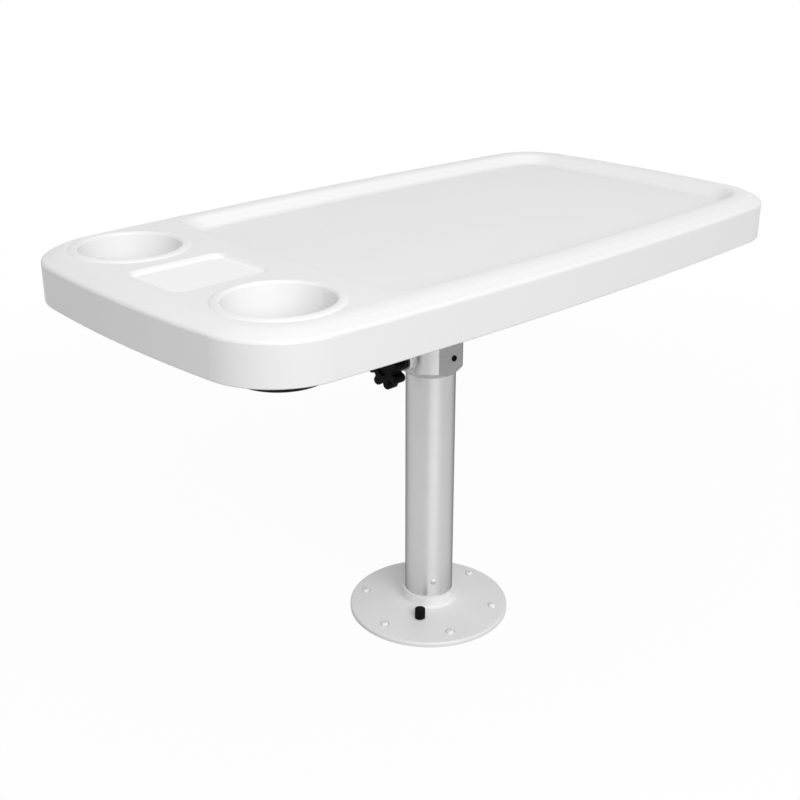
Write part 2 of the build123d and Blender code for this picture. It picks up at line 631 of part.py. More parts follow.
def base_flange():
    """Cast base: dished top, hub socket, foot ring, ribs, screw bosses and the latch's channel."""
    inner = HUB_R + HUB_WALL
    outer = BASE_R - BASE_FOOT
    base = turned(
        (SOCKET_HOLE_R, 0), (inner, 0), (inner, dish_z(inner) - BASE_WALL), (outer, dish_z(outer) - BASE_WALL),
        (outer, 0), (BASE_R, 0), (BASE_R, BASE_EDGE), (HUB_R, BASE_RISE), (HUB_R, HUB_TOP), (SOCKET_R, HUB_TOP),
        (SOCKET_R, SOCKET_FLOOR), (SOCKET_HOLE_R, SOCKET_FLOOR))
    rounded = [edge for edge in base.edges() if abs(edge.center().Z - BASE_EDGE) < TOUCH]
    base = fillet(rounded, BASE_EDGE / 2)
    blend = [edge for edge in base.edges().filter_by(GeomType.CIRCLE)
             if abs(edge.radius - HUB_R) < TOUCH and abs(edge.center().Z - BASE_RISE) < TOUCH]
    base = fillet(blend, HUB_BLEND_R)

    under = turned((0, 0), (outer, 0), (outer, dish_z(outer) - BASE_WALL / 2), (0, dish_z(0) - BASE_WALL / 2))
    added = Part()
    for i in range(BASE_HOLES):
        turn = Rot(0, 0, BASE_TURN + i * 360 / BASE_HOLES)
        added += turn * Pos(BASE_PCD / 2, 0, 0) * Cylinder(BASE_BOSS_R, BASE_RISE, align=UP)
        rib = Box(outer - HUB_R, BASE_RIB, BASE_RISE, align=(Align.MIN, Align.CENTER, Align.MIN))
        added += turn * Pos(HUB_R, 0, 0) * rib
    channel = Box(
        CHANNEL_END + CHANNEL_WALL / 2 - HUB_R, CHANNEL_WIDTH + 2 * CHANNEL_WALL, BASE_RISE,
        align=(Align.MIN, Align.CENTER, Align.MIN))
    added += Rot(0, 0, LATCH_ANGLE) * Pos(HUB_R, 0, CHANNEL_Z) * channel
    base += added & under

    seat_z = dish_z(BASE_PCD / 2 + BASE_SEAT_R) - BASE_SEAT_DEPTH
    for i in range(BASE_HOLES):
        turn = Rot(0, 0, BASE_TURN + i * 360 / BASE_HOLES)
        base -= turn * Pos(BASE_PCD / 2, 0, 0) * Cylinder(BASE_HOLE_R, BASE_RISE, align=UP)
        base -= turn * Pos(BASE_PCD / 2, 0, seat_z) * Cylinder(BASE_SEAT_R, BASE_RISE, align=UP)
    way = Box(
        CHANNEL_END - SOCKET_HOLE_R, CHANNEL_WIDTH, CHANNEL_TOP - CHANNEL_Z,
        align=(Align.MIN, Align.CENTER, Align.MIN))
    below = Box(
        CHANNEL_END - BOLT_TAIL - HUB_R, CHANNEL_WIDTH + 2 * CHANNEL_WALL + 2 * REST_GAP, CHANNEL_Z,
        align=(Align.MIN, Align.CENTER, Align.MIN))
    slot_width = 2 * (POST_STEM_R + REST_GAP)
    slot = Pos(LATCH_TRAVEL / 2, 0) * SlotCenterToCenter(LATCH_TRAVEL, slot_width)
    base -= Rot(0, 0, LATCH_ANGLE) * Pos(SOCKET_R - HUB_WALL, 0, CHANNEL_Z) * way
    base -= Rot(0, 0, LATCH_ANGLE) * Pos(HUB_R, 0, 0) * below
    base -= Rot(0, 0, LATCH_ANGLE) * Pos(POST_RHO, 0, CHANNEL_Z) * extrude(slot, BASE_RISE)
    for side in (-1, 1):
        base -= keeper_place(side) * Cylinder(KEEPER_SCREW_R + RUN_FIT, CHANNEL_TOP, align=UP)
    return base


def keeper_place(side):
    """Place of a keeper screw beside the bolt."""
    y = side * (CHANNEL_WIDTH + CHANNEL_WALL) / 2
    return Rot(0, 0, LATCH_ANGLE) * Pos(POST_RHO, y, 0)


def latch_keeper():
    """Plate that holds the bolt up in its channel."""
    start = HUB_R + HUB_WALL + REST_GAP
    plate = Box(
        CHANNEL_END - BOLT_TAIL - REST_GAP - start, CHANNEL_WIDTH + 2 * CHANNEL_WALL, KEEPER_THICKNESS,
        align=(Align.MIN, Align.CENTER, Align.MAX))
    keeper = Rot(0, 0, LATCH_ANGLE) * Pos(start, 0, CHANNEL_Z) * plate
    for side in (-1, 1):
        keeper -= keeper_place(side) * Cylinder(KEEPER_SCREW_R + SLIP, CHANNEL_Z, align=UP)
    return keeper


def keeper_screws():
    """Two screws that hold the keeper."""
    one = Pos(0, 0, CHANNEL_Z - KEEPER_THICKNESS) * screw(KEEPER_SCREW_R, SMALL_HEAD_HEIGHT, CHANNEL_Z)
    return [keeper_place(side) * one for side in (-1, 1)]


def latch_bolt():
    """Flat bolt that reaches through the hub into the pole, with a stem for the thumb post."""
    bar = Box(BOLT_END - BOLT_TIP, BOLT_WIDTH, BOLT_THICKNESS, align=(Align.MIN, Align.CENTER, Align.MIN))
    stem = Pos(POST_RHO - BOLT_TIP, 0, 0) * Cylinder(POST_STEM_R, dish_z(POST_RHO) + POST_R - LATCH_Z, align=UP)
    return Rot(0, 0, LATCH_ANGLE) * Pos(BOLT_TIP, 0, LATCH_Z) * (bar + stem)


def latch_button():
    """Black thumb post on the bolt's stem."""
    low = dish_z(POST_RHO - POST_R) + POST_GAP
    post = Pos(0, 0, low) * extrude(Circle(POST_R), POST_TOP_Z - low)
    top = post.edges().group_by(Axis.Z)[-1]
    post = fillet(top, POST_R - POST_TOP_R)
    post -= Pos(0, 0, low) * Cylinder(POST_STEM_R + RUN_FIT, dish_z(POST_RHO) + POST_R + REST_GAP - low, align=UP)
    return Rot(0, 0, LATCH_ANGLE) * Pos(POST_RHO, 0, 0) * post


def latch_spring():
    """Coil that pushes the bolt into the pole."""
    length = SPRING_ROOM - 2 * REST_GAP - 2 * SPRING_WIRE_R
    radius = BOLT_THICKNESS / 2 - SPRING_WIRE_R
    path = Helix(length / SPRING_TURNS, length, radius)
    wire = sweep(Plane(path @ 0, z_dir=path % 0) * Circle(SPRING_WIRE_R), path)
    start = BOLT_END + REST_GAP + SPRING_WIRE_R
    return Pos(0, 0, LATCH_Z + BOLT_THICKNESS / 2) * radial(LATCH_ANGLE, Pos(0, 0, start) * wire)


NODES = {
    "top_shell": top_shell,
    "bottom_pan": bottom_pan,
    "pan_screws": pan_screws,
    "mount_plate": mount_plate,
    "mount_bush": mount_bush,
    "mount_screws": mount_screws,
    "pivot_bolt": pivot_bolt,
    "pivot_washer": pivot_washer,
    "thrust_washer": thrust_washer,
    "inner_tube": inner_tube,
    "top_plug": top_plug,
    "top_plug_screws": top_plug_screws,
    "foot_bush": foot_bush,
    "outer_tube": outer_tube,
    "stop_plug": stop_plug,
    "plug_screws": plug_screws,
    "stop_buffer": stop_buffer,
    "clamp_collar": clamp_collar,
    "collar_screws": collar_screws,
    "guide_bush": guide_bush,
    "clamp_pad": clamp_pad,
    "clamp_stud": clamp_stud,
    "knob_head": knob_head,
    "base_flange": base_flange,
    "latch_keeper": latch_keeper,
    "keeper_screws": keeper_screws,
    "latch_bolt": latch_bolt,
    "latch_button": latch_button,
    "latch_spring": latch_spring,
}

os.makedirs("parts", exist_ok=True)
for name, make in NODES.items():
    shape = make()
    if isinstance(shape, list):
        shape = Compound(children=shape)
    export_step(shape, f"parts/{name}.step")
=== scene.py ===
"""Looks of the single pole camper table: materials, screws and small trim, studio light and camera.

Metres, in the CAD frame: +Z up, the floor at zero, the cup end of the top along -X.
"""
import json
from math import atan2, cos, pi, radians, sin

import bmesh
import bpy
from mathutils import Matrix, Vector


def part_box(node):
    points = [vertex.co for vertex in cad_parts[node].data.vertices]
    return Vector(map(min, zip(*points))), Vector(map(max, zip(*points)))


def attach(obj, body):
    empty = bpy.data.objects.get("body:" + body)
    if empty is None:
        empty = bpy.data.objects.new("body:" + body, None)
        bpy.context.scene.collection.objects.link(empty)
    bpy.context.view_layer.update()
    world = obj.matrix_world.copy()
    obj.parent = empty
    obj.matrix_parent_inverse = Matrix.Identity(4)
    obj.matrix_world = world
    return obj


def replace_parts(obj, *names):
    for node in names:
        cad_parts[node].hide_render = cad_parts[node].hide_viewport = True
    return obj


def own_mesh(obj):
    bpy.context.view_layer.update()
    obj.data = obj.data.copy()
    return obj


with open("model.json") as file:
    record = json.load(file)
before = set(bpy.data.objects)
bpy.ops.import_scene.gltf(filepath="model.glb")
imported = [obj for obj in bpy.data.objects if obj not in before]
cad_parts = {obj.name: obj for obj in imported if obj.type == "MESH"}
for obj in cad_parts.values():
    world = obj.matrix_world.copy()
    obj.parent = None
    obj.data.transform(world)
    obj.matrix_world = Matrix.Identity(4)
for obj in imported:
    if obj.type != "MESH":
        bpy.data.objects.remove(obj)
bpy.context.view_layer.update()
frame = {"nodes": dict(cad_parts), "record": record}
nodes = frame["nodes"]
record = frame["record"]

# Camera, fitted to the photograph with the pole as the scale
CAMERA_PLACE = Vector((-0.95283, -0.94985, 0.84167))
CAMERA_YAW = radians(43.53)      # from +Y towards +X
CAMERA_PITCH = radians(22.52)    # below the horizon
CAMERA_LENS = 54.50              # mm, on a 36 mm sensor

# Studio
KEY_AZIMUTH = radians(245)       # where the light stands, from +X towards +Y
KEY_ELEVATION = radians(34)
KEY_DISTANCE = 3.5
KEY_SIZE = 2.6
KEY_POWER = 86.0
KEY_AIM = Vector((0, 0, 0.35))
AMBIENT = 0.52                   # world strength on matt surfaces
FLOOR_SIZE = 80.0
FLOOR_ALBEDO = 0.3               # for the light that it throws back
FLOOR_GLOW = 0.94                # share of plain white in the floor that the camera sees, at the object
FLOOR_FADE = (0.7, 2.0)          # from the object to where the floor is plain white

# Places on the CAD parts that have a finish of their own, and the collar's flats, which also carry painted shade
SCOOP_Z = 0.505                  # floor of the scoop
SCOOP_X = -0.3177                # middle of the scoop
SCOOP_HALF = (0.051, 0.0395)     # half of its floor, along X and Y
SCOOP_RISE = (0.001, 0.003)      # above the floor, where its finish fades out
SCOOP_FADE = 0.004               # beyond the floor's edge, where its finish ends
FLAT_Y = 0.033                   # flats of the collar
FLAT_SHADE_FADE = (0.0006, 0.0002)     # below the flat, where its milled finish and painted shade fade in

# Screws in the floor
FLOOR_SCREW_TURN = radians(4)    # of their circle
FLOOR_SCREW_SEAT = 0.0070        # height of the faces that their heads bear on
FLOOR_SCREW_CLEAR = 1e-5         # tips end this far above the floor
FLOOR_SCREW_R = 0.0024
FLOOR_HEAD_R = 0.0046
FLOOR_HEAD_HEIGHT = 0.0046
FLOOR_HEAD_TURN = 1.1            # radians from one head's recess to the next

# Screws under the table
UNDER_SHANK_R = {"pan_screws": 0.0020, "mount_screws": 0.0027}
UNDER_HEAD_HEIGHT = 0.0024
UNDER_HEAD_TURN = 0.7            # radians from one head's recess to the next

# Screws in the pole
PLUG_SHANK_R = 0.0019
PLUG_REACH = 0.016
PLUG_HEAD_HEIGHT = 0.0013
PLUG_FIRST_TURN = 0.5            # radians, of the first head's recess
PLUG_HEAD_TURN = 1.0             # radians from one head's recess to the next

# Form of every screw
HEAD_RATIO = 1.9                 # head radius over shank radius
HEAD_EDGE = 0.25                 # upright edge over head height
POINT_RATIO = 0.8                # radius at the tip over shank radius
POINT_LENGTH = 0.5               # over shank radius
CROWN_STEP = 10                  # degrees between the rings of a head's crown
RECESS_SPAN = 0.58               # cross recess over head diameter
RECESS_ARM = 0.13                # arm width over head diameter
RECESS_DEPTH = 0.62              # over head height
RECESS_TAPER = 0.6               # floor of the recess over its mouth
LATHE_STEPS = 48
SHARP_EDGE = radians(32)         # faces that meet at more than this are shaded apart
WELD = 1e-5                      # points closer than this are one
SLIVER = 4e-6                    # edges shorter than this are taken out of a cut

# Plugs over the set screws, as (radius, height) points
SET_PLUG = ((0, 0), (0.0037, 0), (0.0037, 0.0008), (0.0032, 0.0014),
            (0.0020, 0.0014), (0.0018, 0.0003), (0, 0.0003))

# Washer under the thumb post
COVER_R = 0.0095
COVER_HOLE_R = 0.0027
COVER_THICKNESS = 0.00035
COVER_Z = 0.01162                # just clear of the dish at the post
DISH_DROP = 0.1187               # fall of the dish for each metre outward

# Colour sockets of a mix node, by number because others share their names
MIX_COLOURS = (6, 7)
MIX_RESULT = 2


# Node helpers

def new_material(name):
    """Material with an empty node tree, its principled shader and object coordinates."""
    made = bpy.data.materials.new(name)
    made.use_nodes = True
    tree = made.node_tree
    tree.nodes.clear()
    output = tree.nodes.new("ShaderNodeOutputMaterial")
    shader = tree.nodes.new("ShaderNodeBsdfPrincipled")
    tree.links.new(shader.outputs["BSDF"], output.inputs["Surface"])
    place = tree.nodes.new("ShaderNodeTexCoord").outputs["Object"]
    return made, tree, shader, place


def stretched(tree, place, scale):
    """Coordinates with their own scale along each axis."""
    mapping = tree.nodes.new("ShaderNodeMapping")
    mapping.inputs["Scale"].default_value = scale
    tree.links.new(place, mapping.inputs["Vector"])
    return mapping.outputs["Vector"]


def noise(tree, place, scale, detail=2.0, rough=0.5):
    """Soft noise from 0 to 1, with a scale in features per metre."""
    node = tree.nodes.new("ShaderNodeTexNoise")
    node.inputs["Scale"].default_value = scale
    node.inputs["Detail"].default_value = detail
    node.inputs["Roughness"].default_value = rough
    tree.links.new(place, node.inputs["Vector"])
    return node.outputs["Fac"]


def cells(tree, place, scale):
    """Distance to the nearest of scattered points, for pebbled grain."""
    node = tree.nodes.new("ShaderNodeTexVoronoi")
    node.feature = "SMOOTH_F1"
    node.inputs["Scale"].default_value = scale
    tree.links.new(place, node.inputs["Vector"])
    return node.outputs["Distance"]


def spread(tree, value, low, high, start=0.0, end=1.0):
    """Value from start to end drawn out to low to high, with a soft shoulder at both ends."""
    node = tree.nodes.new("ShaderNodeMapRange")
    node.interpolation_type = "SMOOTHSTEP"
    node.inputs["From Min"].default_value = start
    node.inputs["From Max"].default_value = end
    node.inputs["To Min"].default_value = low
    node.inputs["To Max"].default_value = high
    tree.links.new(value, node.inputs["Value"])
    return node.outputs["Result"]


def axis_of(tree, place, axis):
    """One coordinate."""
    node = tree.nodes.new("ShaderNodeSeparateXYZ")
    tree.links.new(place, node.inputs["Vector"])
    return node.outputs[axis]


def distance(tree, value, middle):
    """Distance of a value from a middle."""
    shift = tree.nodes.new("ShaderNodeMath")
    shift.operation = "SUBTRACT"
    tree.links.new(value, shift.inputs[0])
    shift.inputs[1].default_value = middle
    size = tree.nodes.new("ShaderNodeMath")
    size.operation = "ABSOLUTE"
    tree.links.new(shift.outputs["Value"], size.inputs[0])
    return size.outputs["Value"]


def times(tree, first, second):
    """Product of two values."""
    node = tree.nodes.new("ShaderNodeMath")
    node.operation = "MULTIPLY"
    for socket, value in zip(node.inputs, (first, second)):
        if isinstance(value, float):
            socket.default_value = value
        else:
            tree.links.new(value, socket)
    return node.outputs["Value"]


def plus(tree, first, second):
    """Sum of two values."""
    node = tree.nodes.new("ShaderNodeMath")
    node.operation = "ADD"
    tree.links.new(first, node.inputs[0])
    tree.links.new(second, node.inputs[1])
    return node.outputs["Value"]


def tinted(tree, factor, low, high):
    """Colour between two tones, each a colour or another node's."""
    node = tree.nodes.new("ShaderNodeMix")
    node.data_type = "RGBA"
    tree.links.new(factor, node.inputs["Factor"])
    for socket, tone in zip(MIX_COLOURS, (low, high)):
        if isinstance(tone, tuple):
            node.inputs[socket].default_value = (*tone, 1.0)
        else:
            tree.links.new(tone, node.inputs[socket])
    return node.outputs[MIX_RESULT]


def grey(tone):
    """Colour with equal parts."""
    return tone, tone, tone


def coloured(tree, shader, factor, low, high):
    """Base colour between two tones."""
    tree.links.new(tinted(tree, factor, low, high), shader.inputs["Base Color"])


def roughened(tree, shader, value, low, high, start=0.0, end=1.0):
    """Roughness between two levels, of 0.3 or more because noise below that renders with specks."""
    tree.links.new(spread(tree, value, low, high, start, end), shader.inputs["Roughness"])


def bumped(tree, shader, height, strength, depth):
    """Bump from a height, with its real depth in metres."""
    node = tree.nodes.new("ShaderNodeBump")
    node.inputs["Strength"].default_value = strength
    node.inputs["Distance"].default_value = depth
    tree.links.new(height, node.inputs["Height"])
    tree.links.new(node.outputs["Normal"], shader.inputs["Normal"])


# Materials, one for each slot of the record

def white_moulding():
    """Satin white moulding with a fine grain and a smooth, brighter scoop floor."""
    made, tree, shader, place = new_material("white_moulding")
    scoop = spread(tree, axis_of(tree, place, "Z"), 1.0, 0.0, *(SCOOP_Z + rise for rise in SCOOP_RISE))
    for axis, middle, half in zip("XY", (SCOOP_X, 0.0), SCOOP_HALF):
        away = distance(tree, axis_of(tree, place, axis), middle)
        scoop = times(tree, scoop, spread(tree, away, 1.0, 0.0, half, half + SCOOP_FADE))
    drift = noise(tree, place, scale=5.0)
    satin = tinted(tree, drift, low=grey(0.84), high=grey(0.87))
    smooth = tinted(tree, drift, low=grey(0.95), high=grey(0.97))
    coloured(tree, shader, scoop, low=satin, high=smooth)
    smear = noise(tree, place, scale=22.0, detail=4.0, rough=0.6)
    roughened(tree, shader, smear, low=0.30, high=0.38, start=0.3, end=0.7)
    bumped(tree, shader, noise(tree, place, scale=90.0, detail=1.0), strength=0.1, depth=0.00004)
    return made


def black_moulding():
    """Black moulding with a pebbled grain."""
    made, tree, shader, place = new_material("black_moulding")
    coloured(tree, shader, noise(tree, place, scale=14.0, detail=3.0), low=grey(0.005), high=grey(0.014))
    roughened(tree, shader, noise(tree, place, scale=60.0, detail=3.0), low=0.46, high=0.62)
    shader.inputs["Specular IOR Level"].default_value = 0.03
    bumped(tree, shader, cells(tree, place, scale=380.0), strength=0.5, depth=0.00025)
    return made


def base_paint():
    """Light grey powder coat with a fine orange peel."""
    made, tree, shader, place = new_material("base_paint")
    coloured(tree, shader, noise(tree, place, scale=24.0, detail=3.0), low=grey(0.84), high=grey(0.89))
    roughened(tree, shader, noise(tree, place, scale=130.0, detail=3.0), low=0.32, high=0.44)
    fine = noise(tree, place, scale=520.0, detail=1.0)
    broad = noise(tree, place, scale=210.0, detail=1.0)
    bumped(tree, shader, plus(tree, fine, times(tree, broad, 0.8)), strength=0.3, depth=0.00012)
    return made


def turned_finish(tree, shader):
    """Highlights drawn out along the pole."""
    tangent = tree.nodes.new("ShaderNodeTangent")
    tangent.direction_type = "RADIAL"
    tangent.axis = "Z"
    tree.links.new(tangent.outputs["Tangent"], shader.inputs["Tangent"])
    shader.inputs["Anisotropic"].default_value = 0.8
    shader.inputs["Anisotropic Rotation"].default_value = 0.25


def tube_metal():
    """Anodised tube with the fine rings of its polishing, which draw highlights out along it."""
    made, tree, shader, place = new_material("tube_metal")
    rings = noise(tree, stretched(tree, place, (0.02, 0.02, 1.0)), scale=1500.0)
    coloured(tree, shader, rings, low=(0.60, 0.60, 0.605), high=(0.66, 0.66, 0.665))
    shader.inputs["Metallic"].default_value = 0.9
    # Edge tint near black: painted shade, darkening the tube's edges at grazing angles where it would reflect
    # darker surroundings.
    shader.inputs["Specular Tint"].default_value = (*grey(0.03), 1.0)
    wipe = spread(tree, noise(tree, place, scale=18.0, detail=3.0), 0.34, 0.40)
    tree.links.new(plus(tree, wipe, spread(tree, rings, 0.0, 0.06)), shader.inputs["Roughness"])
    turned_finish(tree, shader)
    return made


def collar_metal():
    """Blasted and anodised casting of the clamp collar, with milled flats painted darker as painted shade."""
    made, tree, shader, place = new_material("collar_metal")
    aside = distance(tree, axis_of(tree, place, "Y"), 0.0)
    flat = spread(tree, aside, 0.0, 1.0, *(FLAT_Y - depth for depth in FLAT_SHADE_FADE))
    blasted = noise(tree, place, scale=70.0, detail=4.0)
    milled = noise(tree, stretched(tree, place, (0.05, 1.0, 1.0)), scale=900.0)
    round_tone = tinted(tree, blasted, low=(0.68, 0.68, 0.685), high=(0.76, 0.76, 0.765))
    # The flats' darker tone is painted shade, for the dark that they reflect; their milled lines are real.
    painted_shade_flat_tone = tinted(tree, milled, low=(0.36, 0.36, 0.365), high=(0.44, 0.44, 0.445))
    coloured(tree, shader, flat, low=round_tone, high=painted_shade_flat_tone)
    shader.inputs["Metallic"].default_value = 0.7
    # Low edge tint: painted shade, darkening the collar's edges at grazing angles where it would reflect darker
    # surroundings.
    shader.inputs["Specular Tint"].default_value = (*grey(0.1), 1.0)
    roughened(tree, shader, noise(tree, place, scale=190.0, detail=3.0), low=0.32, high=0.46)
    bumped(tree, shader, noise(tree, place, scale=1100.0), strength=0.15, depth=0.00006)
    turned_finish(tree, shader)
    return made


def cast_metal():
    """Rough cast plate under the table."""
    made, tree, shader, place = new_material("cast_metal")
    coloured(tree, shader, noise(tree, place, scale=45.0, detail=4.0),
             low=(0.34, 0.34, 0.35), high=(0.46, 0.46, 0.47))
    shader.inputs["Metallic"].default_value = 0.7
    roughened(tree, shader, noise(tree, place, scale=160.0, detail=4.0), low=0.46, high=0.66)
    skin = plus(tree, noise(tree, place, scale=620.0, detail=3.0), cells(tree, place, scale=380.0))
    bumped(tree, shader, skin, strength=0.45, depth=0.00022)
    return made


def steel():
    """Zinc plated fasteners."""
    made, tree, shader, place = new_material("steel")
    coloured(tree, shader, noise(tree, place, scale=320.0, detail=3.0),
             low=(0.60, 0.60, 0.59), high=(0.72, 0.72, 0.73))
    shader.inputs["Metallic"].default_value = 0.9
    roughened(tree, shader, noise(tree, place, scale=700.0, detail=3.0), low=0.30, high=0.40)
    bumped(tree, shader, noise(tree, place, scale=2600.0), strength=0.15, depth=0.00003)
    return made


def black_plastic():
    """Satin black moulding of the knob and the thumb post."""
    made, tree, shader, place = new_material("black_plastic")
    coloured(tree, shader, noise(tree, place, scale=60.0, detail=3.0), low=grey(0.003), high=grey(0.006))
    shader.inputs["Specular IOR Level"].default_value = 0.05
    roughened(tree, shader, noise(tree, place, scale=240.0, detail=3.0), low=0.38, high=0.52)
    bumped(tree, shader, noise(tree, place, scale=1900.0), strength=0.25, depth=0.00006)
    return made


def nylon():
    """Natural nylon of bushes, washers and plugs."""
    made, tree, shader, place = new_material("nylon")
    coloured(tree, shader, noise(tree, place, scale=80.0, detail=3.0),
             low=(0.76, 0.75, 0.70), high=(0.82, 0.81, 0.77))
    roughened(tree, shader, noise(tree, place, scale=260.0, detail=3.0), low=0.40, high=0.54)
    turning = noise(tree, stretched(tree, place, (1.0, 1.0, 8.0)), scale=420.0)
    bumped(tree, shader, turning, strength=0.12, depth=0.00006)
    return made


def rubber():
    """Matt rubber of the stop buffer."""
    made, tree, shader, place = new_material("rubber")
    coloured(tree, shader, noise(tree, place, scale=120.0, detail=3.0), low=grey(0.022), high=(0.040, 0.039, 0.038))
    roughened(tree, shader, noise(tree, place, scale=400.0, detail=3.0), low=0.66, high=0.82)
    bumped(tree, shader, noise(tree, place, scale=1300.0), strength=0.3, depth=0.00010)
    return made


MATERIALS = {make.__name__: make() for make in (
    white_moulding, black_moulding, base_paint, tube_metal, collar_metal,
    cast_metal, steel, black_plastic, nylon, rubber)}


def dress_nodes():
    """Give every CAD node the material of its slot in the record."""
    for row in record["subparts"]:
        mesh = nodes[row["node"]].data
        mesh.materials.clear()
        mesh.materials.append(MATERIALS[row["material_slot"]])


# Screws and small trim

def as_object(name, form):
    """Object made from a bmesh, which is freed."""
    mesh = bpy.data.meshes.new(name)
    form.to_mesh(mesh)
    form.free()
    made = bpy.data.objects.new(name, mesh)
    bpy.context.scene.collection.objects.link(made)
    return made


def lathe(name, profile):
    """Solid of revolution about Z from (radius, height) points that end on the axis or where they start."""
    form = bmesh.new()
    ring = [form.verts.new((radius, 0, height)) for radius, height in profile]
    edges = [form.edges.new(pair) for pair in zip(ring, ring[1:])]
    bmesh.ops.spin(form, geom=ring + edges, axis=(0, 0, 1), cent=(0, 0, 0), angle=2 * pi, steps=LATHE_STEPS)
    bmesh.ops.remove_doubles(form, verts=form.verts, dist=WELD)
    bmesh.ops.recalc_face_normals(form, faces=form.faces)
    return as_object(name, form)


def recess_cross(head_r, head_height):
    """Tapered cross that a driver's tip fills, at the top of a screw's head."""
    reach, half = head_r * RECESS_SPAN, head_r * RECESS_ARM
    depth = head_height * RECESS_DEPTH
    quarter = ((reach, -half), (reach, half), (half, half))
    outline = [Matrix.Rotation(turn * pi / 2, 2) @ Vector(point) for turn in range(4) for point in quarter]
    form = bmesh.new()
    floor, mouth = ([form.verts.new((*(point * size), head_height + side * depth)) for point in outline]
                    for size, side in ((RECESS_TAPER, -1), (1.0, 1)))
    form.faces.new(floor[::-1])
    form.faces.new(mouth)
    for i in range(len(outline)):
        form.faces.new((floor[i - 1], floor[i], mouth[i], mouth[i - 1]))
    return as_object("recess_cross", form)


def screw_mesh(shank_r, head_r, head_height, reach):
    """Pan head screw along +Z with a cross recess, its bearing face at zero."""
    shank = [(0, -reach), (shank_r * POINT_RATIO, -reach), (shank_r, -reach + shank_r * POINT_LENGTH), (shank_r, 0)]
    crown = [(head_r * cos(rise), head_height * (HEAD_EDGE + (1 - HEAD_EDGE) * sin(rise)))
             for rise in map(radians, range(0, 90, CROWN_STEP))]
    whole = lathe("screw_blank", shank + [(head_r, 0)] + crown + [(0, head_height)])
    cross = recess_cross(head_r, head_height)
    cut = whole.modifiers.new("recess", "BOOLEAN")
    cut.operation = "DIFFERENCE"
    cut.solver = "EXACT"
    cut.object = cross
    bpy.context.view_layer.update()
    finished = bpy.data.meshes.new_from_object(whole.evaluated_get(bpy.context.evaluated_depsgraph_get()))
    for piece in (whole, cross):
        bpy.data.objects.remove(piece)
    form = bmesh.new()
    form.from_mesh(finished)
    bmesh.ops.dissolve_degenerate(form, dist=SLIVER, edges=form.edges)
    bmesh.ops.triangulate(form, faces=form.faces)
    form.to_mesh(finished)
    form.free()
    return finished


def screw_group(name, mesh, places, body, slot="steel"):
    """One piece with a copy of a screw or plug at each place."""
    form = bmesh.new()
    for place in places:
        copy = mesh.copy()
        copy.transform(place)
        form.from_mesh(copy)
        bpy.data.meshes.remove(copy)
    group = as_object(name, form)
    group.data.materials.append(MATERIALS[slot])
    group.data.shade_smooth()
    group.data.set_sharp_from_angle(angle=SHARP_EDGE)
    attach(group, body)
    return group


def solid_centres(node):
    """Centre of the box of each separate solid in a CAD node, in an order that every run repeats."""
    form = bmesh.new()
    form.from_mesh(nodes[node].data)
    bmesh.ops.remove_doubles(form, verts=form.verts, dist=WELD)
    left = set(form.verts)
    centres = []
    while left:
        edge = [left.pop()]
        low, high = edge[0].co.copy(), edge[0].co.copy()
        while edge:
            vert = edge.pop()
            low = Vector(map(min, low, vert.co))
            high = Vector(map(max, high, vert.co))
            found = {link.other_vert(vert) for link in vert.link_edges} & left
            left -= found
            edge.extend(found)
        centres.append((low + high) / 2)
    form.free()
    return sorted(centres, key=tuple)


def facing_down(x, y, z, turn):
    """Place for a screw driven upwards, turned on its axis."""
    return Matrix.Translation((x, y, z)) @ Matrix.Rotation(pi, 4, "X") @ Matrix.Rotation(turn, 4, "Z")


def under_screws(node, body):
    """Cross recessed screws in place of a node's plain ones, with their heads down."""
    low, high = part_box(node)
    bearing = low.z + UNDER_HEAD_HEIGHT
    shank_r = UNDER_SHANK_R[node]
    mesh = screw_mesh(shank_r, shank_r * HEAD_RATIO, UNDER_HEAD_HEIGHT, high.z - bearing)
    places = [facing_down(centre.x, centre.y, bearing, UNDER_HEAD_TURN * i)
              for i, centre in enumerate(solid_centres(node))]
    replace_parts(screw_group(node.replace("screws", "cross_screws"), mesh, places, body), node)


def pole_screws():
    """Cross recessed screws in the pole, in place of the plain ones."""
    pole_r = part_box("outer_tube")[1].x
    mesh = screw_mesh(PLUG_SHANK_R, PLUG_SHANK_R * HEAD_RATIO, PLUG_HEAD_HEIGHT, PLUG_REACH)
    places = []
    for i, centre in enumerate(solid_centres("plug_screws")):
        outward = Matrix.Rotation(atan2(centre.y, centre.x), 4, "Z") @ Matrix.Rotation(pi / 2, 4, "Y")
        places.append(Matrix.Translation((0, 0, centre.z)) @ outward @ Matrix.Translation((0, 0, pole_r))
                      @ Matrix.Rotation(PLUG_FIRST_TURN + PLUG_HEAD_TURN * i, 4, "Z"))
    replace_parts(screw_group("plug_cross_screws", mesh, places, "pedestal"), "plug_screws")


def floor_screws():
    """Screws that hold the base to the floor, which the CAD leaves out so that its holes stay open."""
    pattern = next(mount for mount in record["mounts"] if mount["name"] == "floor_screws")["dims"]
    ring = pattern["pcd_mm"] / 2 / 1000
    count = int(pattern["count"])
    mesh = screw_mesh(FLOOR_SCREW_R, FLOOR_HEAD_R, FLOOR_HEAD_HEIGHT, FLOOR_SCREW_SEAT - FLOOR_SCREW_CLEAR)
    places = []
    for i in range(count):
        angle = FLOOR_SCREW_TURN + 2 * pi * i / count
        spot = Matrix.Translation((ring * cos(angle), ring * sin(angle), FLOOR_SCREW_SEAT))
        places.append(spot @ Matrix.Rotation(FLOOR_HEAD_TURN * i, 4, "Z"))
    screw_group("floor_screws", mesh, places, "pedestal", "white_moulding")


